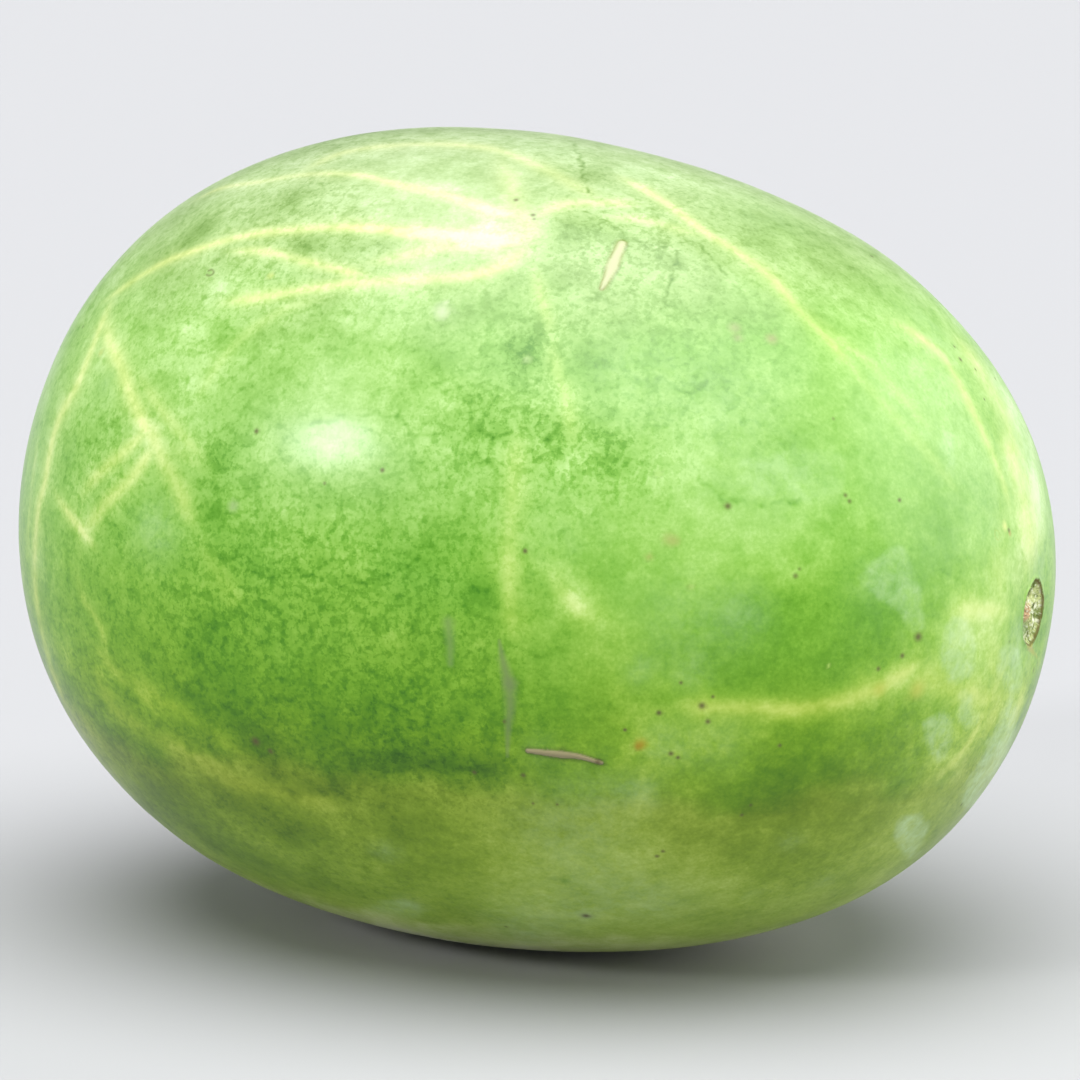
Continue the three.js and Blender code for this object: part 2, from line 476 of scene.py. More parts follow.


# Flakes of pale wax with a clear edge, partly painted reflections of bright surroundings: strength and
# outline in pixels
FLAKES_AND_REFLECTIONS = [
    (0.5, [(862, 574), (882, 556), (900, 545), (912, 570), (924, 620), (915, 632), (896, 612), (880, 600)]),
    (0.75, [(942, 645), (947, 626), (960, 616), (972, 628), (976, 656), (968, 678), (952, 682),
            (944, 666)]),
    (0.6, [(957, 697), (966, 693), (975, 706), (972, 724), (960, 724)]),
    (0.7, [(925, 722), (936, 712), (950, 718), (952, 742), (942, 760), (928, 748)]),
    (1.0, [(1012, 689), (1001, 718), (986, 750), (962, 796), (974, 806), (999, 773), (1016, 724)]),
    (1.0, [(897, 826), (906, 816), (918, 816), (928, 825), (923, 840), (914, 858), (906, 855), (895, 838)]),
    (0.5, [(940, 430), (952, 438), (955, 473), (944, 466)]),
    (0.2, [(740, 462), (790, 452), (838, 456), (838, 502), (790, 498), (745, 490)]),
    (0.5, [(364, 909), (395, 901), (427, 906), (418, 916), (380, 917)]),
    (0.6, [(1000, 652), (1012, 645), (1024, 660), (1022, 684), (1008, 690), (1000, 676)]),
]


cracks = [(half_width * MM, strength, route_on_skin(points, 1)) for half_width, strength, points in CRACKS]
lines = [(half_width * MM, colour, route_on_skin(points, 1)) for half_width, colour, points in LINES]
flakes_and_reflections = [(strength, route_on_skin([*points, points[0]], 2)) for strength, points in FLAKES_AND_REFLECTIONS]
rubs = [(route_on_skin(points, 1), first, last, colour) for points, first, last, colour in RUBS]
bits = [(route_on_skin(points, 1), *rest) for points, *rest in BITS]
specks = [(spot_on_skin(x, y), radius * MM) for x, y, radius in SPECKS]
smudges = [(spot_on_skin(x, y), radius * MM, colour) for x, y, radius, colour in SMUDGES]
print(len(lines), "lines,", len(bits), "bits and", len(specks), "specks")

# %% [markdown]
# ## The rind mesh
#
# The rind starts as a sphere whose poles are the stem and the flower end, is stretched to the fruit's
# size and wrapped onto the guide. Both ends are opened and filled with close rings, because the scar and
# the button are small and rough. Faces are cut finer only along the veins and marks, which keeps the rest
# of the mesh light.

# %% Rind, stretched and wrapped
RIND_SEGMENTS = 232
RIND_RINGS = 134
SKIN_DEPTH = 0.3 * MM

bpy.ops.object.select_all(action="DESELECT")
bpy.ops.mesh.primitive_uv_sphere_add(
    segments=RIND_SEGMENTS, ring_count=RIND_RINGS, radius=0.5, location=axis_middle,
    rotation=(0, math.pi / 2 + STEM_DIP, 0),
    scale=(box_high.z - box_low.z, box_high.y - box_low.y, box_high.x - box_low.x))
rind = bpy.context.object
rind.name = "rind"
pick(rind)
bpy.ops.object.transform_apply(location=True, rotation=True, scale=True)


def wrap_on_guide():
    add_modifier(rind, "SHRINKWRAP", target=guide, wrap_method="NEAREST_SURFACEPOINT",
                 wrap_mode="ABOVE_SURFACE", offset=-SKIN_DEPTH)


wrap_on_guide()
print("rind starts with", len(rind.data.vertices), "corners")

# %% Close rings at both ends
STEM_END_RINGS = [radius * MM for radius in (*np.arange(31, 16, -1.25), *np.arange(15.6, 0.5, -0.45))]
FLOWER_END_RINGS = [radius * MM for radius in (*np.arange(16, 8, -1.2), *np.arange(7.6, 0.6, -0.5))]


def open_end(end, radius):
    """Cuts a round hole of a radius at one end and leaves its edge selected in edit mode."""
    off_axis, along = distance_from_axis(corners(rind))
    edit_corners(rind, (off_axis < radius) & (along * end > 0))
    bpy.ops.mesh.delete(type="VERT")
    bpy.ops.mesh.select_all(action="DESELECT")
    bpy.ops.mesh.select_non_manifold()


def close_end(end, radii):
    """Fills the hole at one end with rings that get smaller and smaller, and closes the middle."""
    centre, _ = skin_at_angle(0 if end > 0 else 180, 0)
    for wide, narrow in zip(radii, radii[1:]):
        bpy.ops.mesh.extrude_region_move(TRANSFORM_OT_translate={"value": (0, 0, 0)})
        share = narrow / wide
        bpy.ops.transform.resize(value=(share, share, share), center_override=centre)
    bpy.ops.mesh.merge(type="CENTER")
    bpy.ops.object.mode_set(mode="OBJECT")


for end, rings in ((1, STEM_END_RINGS), (-1, FLOWER_END_RINGS)):
    open_end(end, rings[0])
    close_end(end, rings)
wrap_on_guide()
stem_pole, stem_out = (np.array(value) for value in skin_at_angle(0, 0))
print("with close rings", len(rind.data.vertices), "corners")

# %% Finer faces along veins and marks
VEIN_REACH = 4.2 * MM
FINE_REACH = 1.6 * MM
THIN_REACH = 0.8 * MM


def near(rows, points, reach):
    """Which rows lie within reach of any of the points."""
    tree = KDTree(len(points))
    for index, point in enumerate(points):
        tree.insert(point, index)
    tree.balance()
    return np.array([tree.find(row)[2] < reach for row in rows])


def refine(points, reach, cuts):
    """Cuts the faces whose middle is within reach of any of the points, leaving out points on the stem
    end's close rings.
    """
    points = points[np.linalg.norm(points - stem_pole, axis=1) > STEM_END_RINGS[0]]
    mesh = rind.data
    middles = np.empty(len(mesh.polygons) * 3)
    mesh.polygons.foreach_get("center", middles)
    touched = np.zeros(len(mesh.vertices), bool)
    for face in np.flatnonzero(near(middles.reshape(-1, 3), points, reach)):
        touched[list(mesh.polygons[face].vertices)] = True
    edit_corners(rind, touched)
    bpy.ops.mesh.subdivide(number_cuts=cuts)
    bpy.ops.object.mode_set(mode="OBJECT")


broad_marks = [outline for _, outline in flakes_and_reflections] + [place[None] for place, *_ in smudges]
fine_marks = [route for *_, route in cracks + lines] + [route for route, *_ in rubs + bits]
thin_marks = [route for *_, route in lines] + [place[None] for place, _ in specks]
vein_points = np.vstack([route for *_, route in veins])
shown = np.array([in_view(guide_tree.find_nearest(point)[1]) > 0 for point in vein_points])
refine(vein_points[~shown], VEIN_REACH, 1)
refine(np.vstack([vein_points[shown], *broad_marks, *fine_marks, *thin_marks]), VEIN_REACH, 2)
refine(np.vstack(fine_marks + thin_marks), FINE_REACH, 2)
refine(np.vstack(thin_marks), THIN_REACH, 1)
wrap_on_guide()
add_modifier(rind, "SMOOTH", factor=0.5, iterations=6)
wrap_on_guide()
bpy.ops.object.shade_smooth()
rind.data.calc_loop_triangles()
print("with fine marks", len(rind.data.vertices), "corners,", len(rind.data.loop_triangles), "triangles")

# %% [markdown]
# ## Relief
#
# The scar is the focus of the stem end. On the real fruit it is a sunken oval of torn, dried tissue, with
# dark holes where the sap vessels ran, a corky patch and a brown rim. Sculpting it by hand isn't
# repeatable, so each corner of the fine rings moves in or out by a formula of its place on the scar, with
# some rough noise.

# %% Helpers for relief
SCAR_LEAN = math.radians(14)
SCAR_HALF_TALL = 11.0
SCAR_HALF_WIDE = 10.0
SCAR_SHIFT = 4.4
scar_up = np.array(Vector((0, 0, 1)) - Vector(stem_out) * stem_out[2])
scar_up /= np.linalg.norm(scar_up)
scar_across = np.cross(stem_out, scar_up) * -1.0
scar_across *= np.sign(scar_across[1])


def on_scar(rows):
    """Millimetres across, towards +Y, and up from the middle of the scar."""
    away = rows - stem_pole
    return away @ scar_across / MM - SCAR_SHIFT, away @ scar_up / MM


def soft_spot(across, up, place, wide, tall=None):
    """1 at a place, falling softly to 0 at its radius, in millimetres on the scar."""
    gap = np.hypot((across - place[0]) / wide, (up - place[1]) / (tall or wide))
    return np.clip(1.5 - gap * 1.5, 0, 1) ** 1.5


def rough(rows, size, seed, octaves=3):
    """Smooth random values between about -1 and 1, with bumps of a size in metres."""
    step = Vector((seed, seed, seed))
    return np.array([noise.fractal(Vector(row) / size + step, 0.6, 2.0, octaves) for row in rows])


def wander(rows, reach, size, seed):
    """The rows moved about by smooth noise, so that what is measured from them gets uneven edges."""
    return rows + reach * np.stack([rough(rows, size, seed + step, 2) for step in (0, 20, 40)], 1)


def normals(thing):
    flat = np.empty(len(thing.data.vertices) * 3)
    thing.data.vertices.foreach_get("normal", flat)
    return flat.reshape(-1, 3)


# %% Uneven skin
SWELL = 0.28
SWELL_SIZE = 55 * MM
RIPPLE = 0.05
RIPPLE_SIZE = 16 * MM
rows, outward = corners(rind), normals(rind)
swell = SWELL * rough(rows, SWELL_SIZE, 4.0, 2) + RIPPLE * rough(rows, RIPPLE_SIZE, 9.0, 2)
swell = np.clip(swell, -0.3, 0.25)
place_corners(rind, rows + outward * swell[:, None] * MM)
print("the skin swells by", round(float(np.ptp(swell)), 2), "mm")

# %% Scar relief
rows = corners(rind)
in_cap = np.linalg.norm(rows - stem_pole, axis=1) < STEM_END_RINGS[0]
cap = rows[in_cap]
across, up = on_scar(cap)
lean_across = across * math.cos(SCAR_LEAN) - up * math.sin(SCAR_LEAN)
lean_up = across * math.sin(SCAR_LEAN) + up * math.cos(SCAR_LEAN)
grain = rough(cap, 2.2 * MM, 1.0, 4)
fibres = rough(cap, 0.9 * MM, 15.0, 2)
coarse = rough(cap, 5.0 * MM, 2.0)
rim = np.hypot(lean_across / SCAR_HALF_WIDE, lean_up / SCAR_HALF_TALL) + 0.045 * rough(cap, 5 * MM, 3.0)
inside = np.clip((1.0 - rim) * 7, 0, 1)


def scar_spot(x, y):
    """The place on the scar of a pixel of the photograph, in millimetres across and up."""
    return on_scar(spot_on_skin(x, y))


# Each hole is its place, half width and half height, in millimetres on the scar
HOLES = [
    (*scar_spot(1030, 588), 3.2, 1.3), (*scar_spot(1035, 594), 2.4, 1.6),
    (*scar_spot(1028, 602), 2.8, 1.9), (3.4, 1.5, 1.6, 1.2),
]
CORK = scar_spot(1031, 613)
HOLLOW = scar_spot(1031, 630)
holes = np.max([soft_spot(across, up, (x, y), wide, tall) for x, y, wide, tall in HOLES], axis=0)
cork = soft_spot(across, up, CORK, 6.4, 4.4)
hollow = soft_spot(across, up, HOLLOW, 4.2, 3.4)
ribs = np.cos((up * 0.9 + across * 0.5) * 4.2 + 2.5 * coarse)
dimple = 0.8 * np.exp(-((rim / 2.0) ** 2))
lip = 0.35 * np.exp(-(((rim - 1.04) / 0.07) ** 2))
torn = 1.0 + 0.45 * grain + 0.22 * fibres + 0.5 * coarse - 0.8 * cork + 0.9 * hollow
torn += 2.4 * holes - 0.22 * cork * ribs
cap_edge = np.linalg.norm(cap - stem_pole, axis=1) / STEM_END_RINGS[0]
depth = dimple * np.clip(3 - 3 * cap_edge, 0, 1) - lip + inside * torn
rows[in_cap] = cap - stem_out * depth[:, None] * MM
place_corners(rind, rows)
print("the scar is", round(float(depth.max()), 1), "mm deep at its deepest")

# %% Flower button relief
flower_pole, flower_out = (np.array(value) for value in skin_at_angle(180, 0))
BUTTON_REACH = 16
rows = corners(rind)
gap = np.linalg.norm(rows - flower_pole, axis=1) / MM
in_button = gap < BUTTON_REACH
button_rows = rows[in_button]
spread = gap[in_button] + 0.6 * rough(button_rows, 4 * MM, 5.0)
button = 1.1 * np.exp(-((spread / 8.5) ** 2)) - 0.5 * np.clip(1.15 - spread / 4.6, 0, 1)
button += 0.35 * np.exp(-(((spread - 5.4) / 0.9) ** 2))
button += 0.22 * rough(button_rows, 1.6 * MM, 6.0, 4) * np.clip(1.6 - spread / 5.0, 0, 1)
button *= np.clip(4 - 4 * gap[in_button] / BUTTON_REACH, 0, 1)
rows[in_button] = button_rows - flower_out * button[:, None] * MM
place_corners(rind, rows)
print("the button's relief spans", round(float(np.ptp(button)), 2), "mm")

# %% Relief of the small marks
GAP_REACH = 30 * MM
BLOCK = 4000
BOX_GAP = 0.02 * MM


def gap_to(rows, points):
    """Each row's distance to the nearest of the points, and which point; 1 metre where none is near."""
    low, high = points.min(0) - GAP_REACH, points.max(0) + GAP_REACH
    close = np.flatnonzero(((rows > low) & (rows < high)).all(axis=1))
    gaps = np.full(len(rows), 1.0)
    which = np.zeros(len(rows), int)
    for part in np.array_split(close, len(close) // BLOCK + 1):
        squares = ((rows[part, None, :] - points[None, :, :]) ** 2).sum(2)
        which[part] = squares.argmin(1)
        gaps[part] = np.sqrt(squares.min(1))
    return gaps, which


def tapered_gap(rows, route, first, last):
    """Each row's distance to a route as a share of its half width there, in millimetres at both ends."""
    gaps, which = gap_to(rows, route)
    return gaps / ((first + (last - first) * which / (len(route) - 1)) * MM)


rows, outward = corners(rind), normals(rind)
lift = np.zeros(len(rows))
for route, first, last, height, *_ in bits:
    lift = np.maximum(lift, height * np.sqrt(np.clip(1 - tapered_gap(rows, route, first, last) ** 2, 0, 1)))
for half_width, _, route in lines:
    lift -= 0.12 * np.exp(-((gap_to(rows, route)[0] / half_width) ** 2))
finished = rows + outward * lift[:, None] * MM
past_box = ((finished < box_low) | (finished > box_high)).any(axis=1)
print("outside the solid's box:", int(past_box.sum()), "corners")
finished = np.clip(finished, np.array(box_low) + BOX_GAP, np.array(box_high) - BOX_GAP)
place_corners(rind, finished)
print("the marks rise by up to", round(float(lift.max()), 2), "mm")

# %% [markdown]
# ## What each corner knows
#
# The material needs to know where the veins, pale clouds, waxy patches and marks are, and where shade,
# highlight and reflections are painted. An image would need an unwrapped map, and it would blur where the
# map stretches. Here each corner stores its own values as named attributes, which follow the surface
# exactly, and the material adds the fine grain between them.

# %% Vein strength on every corner
rows, outward = corners(rind), normals(rind)
VEIN_WOBBLE = 0.25
VEIN_PATCHINESS = 0.25
END_FADE = 10
HALO_WIDTH = 2.4
HALO_SHARE = 0.26


def store(name, values):
    """Keeps one value, or one colour with its cover, on every corner of the rind."""
    values = np.asarray(values, np.float32)
    kind = "FLOAT" if values.ndim == 1 else "FLOAT_COLOR"
    attribute = rind.data.attributes.new(name, kind, "POINT")
    attribute.data.foreach_set("value" if values.ndim == 1 else "color", values.ravel())


vein_field = np.zeros(len(rows))
halo_field = np.zeros(len(rows))
wobble = 1 + VEIN_WOBBLE * rough(rows, 14 * MM, 7.0, 2)
patchy = 1 + VEIN_PATCHINESS * rough(rows, 25 * MM, 8.0, 2)
for half_width, strength, route in veins:
    gaps, which = gap_to(rows, route)
    fade = np.clip((np.minimum(which, len(route) - 1 - which) + 1) / END_FADE, 0, 1) ** 0.8
    width = half_width * wobble * (0.8 + 0.2 * fade)
    vein_field = np.maximum(vein_field, strength * fade * np.exp(-((gaps / width) ** 2)))
    halo_field = np.maximum(halo_field, strength * fade * np.exp(-((gaps / (width * HALO_WIDTH)) ** 2)))
vein_field *= patchy
store("veins", vein_field + HALO_SHARE * halo_field * (1 - vein_field))
print("veins cover", round(float((vein_field > 0.3).mean()) * 100), "% of the corners")

# %% Thick and thin green, with painted shade and a painted highlight
# Soft patches: pixel, radius in pixels, and how much thicker (+) or thinner (-) the green layer is there
# Painted light among them: the thick patches along the lower outline at the flower end are painted shade on
# darker green, and the thin patch at (332, 440) is a painted highlight
THICKNESS_AND_SHADING = [
    (202, 228, 20, 0.45), (290, 202, 18, 0.35), (330, 183, 14, 0.22), (308, 243, 20, 0.32),
    (345, 242, 16, 0.22), (382, 242, 18, 0.22), (270, 238, 12, 0.22), (452, 160, 14, 0.2),
    (165, 255, 26, 0.22), (132, 272, 20, 0.22), (575, 228, 19, 0.55), (602, 236, 14, 0.3),
    (590, 175, 18, 0.3), (552, 170, 18, 0.2), (622, 240, 14, 0.25), (675, 262, 10, 0.45),
    (648, 252, 16, 0.18), (222, 336, 20, 0.15), (340, 350, 16, 0.1), (432, 370, 20, 0.2),
    (524, 352, 17, 0.42), (540, 327, 13, 0.25), (585, 362, 18, 0.16), (600, 375, 60, 0.1),
    (660, 330, 50, 0.12), (740, 308, 42, 0.28), (772, 342, 28, 0.22), (722, 372, 24, 0.24),
    (800, 238, 55, 0.26), (875, 282, 45, 0.26), (760, 215, 45, 0.2), (935, 325, 36, 0.14),
    (222, 455, 17, 0.5), (242, 425, 12, 0.18), (246, 462, 12, 0.15), (70, 452, 20, 0.2),
    (92, 434, 14, 0.16), (114, 462, 11, 0.14), (216, 516, 17, 0.35), (226, 552, 18, 0.22),
    (207, 622, 20, 0.22), (180, 552, 24, 0.1), (252, 566, 11, 0.22), (320, 560, 9, 0.28),
    (327, 602, 11, 0.24), (470, 440, 26, 0.16), (500, 432, 10, 0.3), (552, 447, 15, 0.12),
    (620, 461, 19, 0.25), (452, 560, 40, 0.16), (482, 595, 14, 0.42), (410, 602, 18, 0.16),
    (456, 655, 15, 0.18), (372, 700, 9, 0.3), (370, 718, 9, 0.3), (200, 672, 36, 0.1),
    (340, 742, 30, 0.12), (310, 786, 15, 0.3), (335, 784, 15, 0.32), (358, 772, 14, 0.3),
    (384, 760, 13, 0.3), (404, 757, 13, 0.3), (428, 759, 13, 0.27), (452, 761, 13, 0.27),
    (478, 764, 13, 0.27), (502, 766, 12, 0.2), (730, 640, 50, 0.16), (802, 640, 58, 0.15),
    (862, 612, 38, 0.14), (742, 608, 28, 0.16), (782, 600, 28, 0.14), (826, 770, 50, 0.07),
    (780, 770, 30, 0.04), (800, 812, 46, 0.14), (745, 800, 45, 0.06), (790, 868, 55, 0.05),
    # From (112, 748) on, and from (225, 800) further down, the lower-outline patches are painted shade
    (430, 820, 50, 0.16), (460, 910, 36, 0.25), (112, 748, 20, 0.2), (150, 790, 36, 0.3),
    (205, 842, 45, 0.38), (275, 880, 40, 0.42), (330, 888, 36, 0.3), (380, 892, 38, 0.25),
    (265, 752, 34, 0.3), (285, 785, 26, 0.25), (240, 735, 16, 0.15), (470, 312, 46, 0.22),
    (440, 285, 24, 0.15), (522, 292, 34, 0.22), (470, 376, 32, 0.18), (562, 275, 16, 0.3),
    (562, 240, 18, 0.2), (596, 372, 20, 0.15), (655, 362, 46, 0.2), (700, 385, 42, 0.15),
    (780, 400, 45, 0.1), (820, 322, 36, 0.2), (860, 395, 46, 0.18), (905, 440, 36, 0.16),
    (945, 500, 32, 0.26), (890, 590, 34, 0.1), (600, 555, 26, 0.1), (540, 572, 28, 0.16),
    (700, 495, 28, 0.12), (850, 340, 46, 0.12), (722, 250, 36, 0.12), (225, 800, 30, 0.3),
    (262, 800, 30, 0.3), (300, 835, 36, 0.35), (150, 810, 30, 0.25), (235, 850, 36, 0.3),
    (740, 345, 55, 0.1), (180, 800, 32, 0.24), (262, 862, 32, 0.24), (322, 880, 34, 0.22),
    (285, 838, 28, 0.12), (170, 510, 10, 0.2), (402, 408, 9, 0.25), (1040, 500, 34, -0.3),
    (1028, 440, 34, -0.25), (1005, 395, 30, -0.25), (850, 500, 55, 0.1), (930, 560, 40, 0.12),
    (440, 860, 46, 0.14), (385, 830, 30, 0.12), (985, 690, 14, 0.25), (218, 291, 13, -0.3),
    (150, 440, 24, -0.28), (85, 530, 18, -0.26), (95, 455, 30, -0.1), (232, 210, 12, -0.2),
    (120, 278, 20, -0.15), (300, 160, 24, -0.1), (150, 700, 22, -0.18), (255, 520, 12, -0.15),
    (230, 560, 12, -0.1), (290, 655, 16, -0.15), (315, 640, 12, -0.1), (570, 466, 12, -0.15),
    (536, 440, 12, -0.18), (452, 455, 10, -0.15), (745, 745, 34, -0.16), (725, 785, 26, -0.12),
    (695, 850, 44, -0.2), (610, 870, 50, -0.08), (935, 700, 16, -0.15), (862, 262, 32, -0.18),
    (100, 650, 24, -0.08), (870, 850, 40, -0.1), (460, 915, 26, -0.2), (1018, 640, 16, -0.15),
    (1012, 470, 22, -0.2), (1022, 520, 24, -0.2), (1006, 575, 20, -0.15), (1036, 480, 18, -0.2),
    (1040, 540, 14, -0.2), (1012, 720, 26, -0.3), (1000, 760, 26, -0.25), (1040, 660, 16, -0.3),
    (985, 660, 26, -0.15), (870, 700, 26, -0.15), (845, 735, 26, -0.12), (548, 340, 12, -0.15),
    (640, 750, 50, -0.05), (60, 396, 16, -0.15), (200, 372, 28, -0.1), (168, 342, 38, -0.1),
    (45, 560, 40, -0.16), (62, 645, 38, -0.24), (45, 455, 30, -0.14), (470, 215, 42, -0.14),
    (442, 262, 42, -0.2), (500, 225, 28, -0.12), (512, 168, 18, -0.14), (400, 205, 40, -0.12),
    # The thin patch at (332, 440) is a painted highlight
    (340, 385, 34, -0.1), (332, 440, 34, -0.12), (576, 601, 14, -0.25), (552, 574, 13, -0.12),
    (610, 520, 55, -0.08), (690, 470, 38, -0.15), (660, 442, 28, -0.1), (746, 545, 38, -0.18),
    (790, 571, 20, -0.16), (722, 522, 20, -0.1), (640, 620, 65, -0.1), (562, 662, 55, -0.08),
    (652, 742, 36, -0.2), (722, 745, 55, -0.18), (905, 685, 28, -0.24), (960, 640, 36, -0.36),
    (992, 622, 34, -0.36), (1022, 560, 34, -0.34), (1036, 500, 24, -0.25), (945, 755, 48, -0.34),
    (975, 700, 36, -0.3), (905, 840, 30, -0.22), (1015, 690, 40, -0.25), (560, 855, 80, -0.1),
    (620, 772, 55, -0.1),
]
# How much more (+) or less (-) the green is flecked: pixel, radius in pixels and amount
FLECKED = [
    (240, 590, 105, 0.34), (430, 600, 85, 0.25), (300, 245, 100, 0.25), (480, 430, 55, 0.3),
    (558, 450, 50, 0.35), (620, 460, 38, 0.3), (535, 345, 36, 0.4), (620, 240, 62, 0.35),
    (100, 465, 62, 0.3), (330, 560, 50, 0.2), (700, 350, 70, 0.15), (370, 705, 50, 0.15),
    (440, 765, 70, 0.15), (222, 455, 30, 0.3), (470, 200, 70, -0.4), (400, 165, 50, -0.35),
    (335, 400, 42, -0.2), (740, 535, 62, -0.35), (640, 640, 95, -0.35), (900, 420, 95, -0.35),
    (965, 600, 80, -0.4), (800, 745, 95, -0.35), (640, 860, 130, -0.4), (900, 825, 85, -0.4),
    (860, 560, 70, -0.15), (450, 860, 70, -0.2),
]
# Milky wax, thicker towards the stem end, with painted light among it: a painted highlight at (332, 438),
# painted sheen at (335, 372), and milky patches along the bottom rim, from (515, 930) to (585, 916),
# that are partly painted reflected light from below. Pixel, radius in pixels and amount
MILKY_AND_REFLECTIONS = [
    (780, 480, 45, 0.3), (872, 580, 20, 0.2), (1022, 640, 28, 0.5), (640, 670, 13, 0.3),
    (690, 672, 14, 0.3), (637, 795, 17, 0.4), (600, 800, 38, 0.15), (385, 852, 12, 0.4),
    (410, 905, 15, 0.3), (105, 385, 20, 0.3), (155, 527, 28, 0.45), (112, 340, 14, 0.25),
    (70, 450, 15, 0.2), (710, 400, 65, 0.25), (620, 365, 36, 0.2), (900, 400, 55, 0.2),
    (940, 360, 36, 0.2), (1005, 400, 34, 0.5), (1030, 455, 34, 0.5), (1042, 510, 28, 0.5),
    (640, 172, 22, 0.4), (560, 148, 52, 0.25), (760, 208, 55, 0.3), (930, 325, 50, 0.3),
    (1020, 470, 36, 0.35), (1042, 560, 28, 0.45), (332, 438, 26, 0.3), (335, 372, 28, 0.15),
    (690, 612, 44, 0.25), (745, 612, 24, 0.28), (668, 745, 22, 0.3), (560, 835, 50, 0.25),
    (600, 885, 50, 0.3), (545, 920, 50, 0.4), (525, 940, 30, 0.35), (655, 905, 40, 0.35),
    (720, 745, 26, 0.2), (515, 930, 30, 0.3), (540, 750, 16, 0.12), (792, 842, 10, 0.35),
    (824, 883, 10, 0.3), (754, 895, 7, 0.3), (585, 916, 17, 0.4), (36, 560, 24, 0.35), (46, 650, 24, 0.3),
    (30, 480, 20, 0.35), (280, 272, 12, 0.2), (700, 480, 30, 0.15), (560, 540, 40, 0.15),
]
EVEN_THICKNESS = 0.98
CRACK_WANDER = 1.3 * MM
HIDDEN_PATCHES = 70
STEM_END_WAX = 0.18
STEM_END_STARTS = 0.145
STEM_END_FULL = 0.182


def on_skin(patches):
    return [(spot_on_skin(x, y), radius * PIXEL, amount) for x, y, radius, amount in patches]


def soft_patches(rows, patches):
    """The sum of soft round patches on every row."""
    total = np.zeros(len(rows))
    for centre, radius, amount in patches:
        total += amount * np.exp(-(((rows - centre) ** 2).sum(1) / radius**2))
    return total


thick_and_shading, flecked, milky_and_reflections = on_skin(THICKNESS_AND_SHADING), on_skin(FLECKED), on_skin(MILKY_AND_REFLECTIONS)
for _ in range(HIDDEN_PATCHES):
    place, normal = skin_at_angle(draw.uniform(20, 165), draw.uniform(-180, 180))
    radius, amount, wax_and_reflections = draw.uniform(6, 26) * MM, draw.uniform(-0.28, 0.45), draw.uniform(-0.3, 0.4)
    if in_view(normal) < EDGE_OF_VIEW / 2:
        place = np.array(place)
        thick_and_shading.append((place, radius, amount))
        flecked.append((place, radius * 1.5, amount))
        milky_and_reflections.append((place, radius, max(wax_and_reflections, 0)))
# The stored thickness carries the painted shade and highlight too
thickness_and_shading = EVEN_THICKNESS + soft_patches(rows, thick_and_shading)
uneven = wander(rows, CRACK_WANDER, 4 * MM, 12.0)
broken = np.clip(0.75 + 0.9 * rough(rows, 5 * MM, 11.0, 2), 0.1, 1)
for half_width, strength, route in cracks:
    thickness_and_shading += strength * broken * np.exp(-((gap_to(uneven, route)[0] / half_width) ** 2))
store("thickness_and_shading", thickness_and_shading)
store("flecks", np.clip(0.42 + soft_patches(rows, flecked), 0.02, 1))
thinnest, thickest = (round(float(end), 2) for end in (thickness_and_shading.min(), thickness_and_shading.max()))
print("the green layer's thickness runs from", thinnest, "to", thickest)

# %% Milky wax and its flakes, with painted highlight, sheen and reflections
FLAKE_EDGE = 6
FLAKE_WAX = 0.9
FLAKE_RAGGED = 1.2 * MM


def photo_pixels(rows):
    """Where each row falls in the photograph, in pixels."""
    away = rows - np.array(camera.location)
    distance = -away @ np.array(camera_back)
    right = away @ np.array(camera_right) / distance * FOCAL_PIXELS
    up = away @ np.array(camera_up) / distance * FOCAL_PIXELS
    return np.stack([PHOTO_SIDE / 2 + right, PHOTO_SIDE / 2 - up], 1)


def inside_outline(spots, outline):
    """How far each spot is inside a closed outline, in pixels; less than 0 outside it."""
    inside = np.zeros(len(spots), bool)
    nearest = np.full(len(spots), 1e9)
    for (x1, y1), (x2, y2) in zip(outline, np.roll(outline, -1, axis=0)):
        crosses = (y1 > spots[:, 1]) != (y2 > spots[:, 1])
        rise = np.where(y2 == y1, 1e-9, y2 - y1)
        inside ^= crosses & (spots[:, 0] < (x2 - x1) * (spots[:, 1] - y1) / rise + x1)
        side = np.array([x2 - x1, y2 - y1])
        share = np.clip((spots - (x1, y1)) @ side / max(side @ side, 1e-9), 0, 1)
        nearest = np.minimum(nearest, np.linalg.norm(spots - (x1, y1) - share[:, None] * side, axis=1))
    return np.where(inside, nearest, -nearest)


stem_end = np.clip((rows[:, 0] - STEM_END_STARTS) / (STEM_END_FULL - STEM_END_STARTS), 0, 1)
# The wax layer also carries the painted highlight, sheen and reflections
wax_and_reflections = soft_patches(rows, milky_and_reflections) + STEM_END_WAX * stem_end
faces_camera = outward @ np.array(camera_back) > 0
spots = photo_pixels(wander(rows, FLAKE_RAGGED, 8 * MM, 14.0))
# The flakes, partly painted reflections, are laid only where the skin faces the camera
for strength, outline in flakes_and_reflections:
    within = inside_outline(spots, photo_pixels(outline))
    wax_and_reflections += FLAKE_WAX * strength * np.clip(0.5 + within / FLAKE_EDGE, 0, 1) * faces_camera
store("wax_and_reflections", np.clip(wax_and_reflections, 0, 1.2))
print("wax covers", round(float((wax_and_reflections > 0.3).mean()) * 100), "% of the corners")

# %% Painted marks
marks = np.zeros((len(rows), 4))


def paint(colour, cover):
    """Lays a colour over the marks where its cover is above 0."""
    cover = np.clip(cover, 0, 1)
    total = cover + marks[:, 3] * (1 - cover)
    share = np.where(total > 0, cover / np.maximum(total, 1e-6), 0)[:, None]
    marks[:, :3] = marks[:, :3] * (1 - share) + on_screen(colour) * share
    marks[:, 3] = total


def spot_cover(place, radius):
    return 1.3 * np.exp(-(((rows - place) ** 2).sum(1) / radius**2)) - 0.15


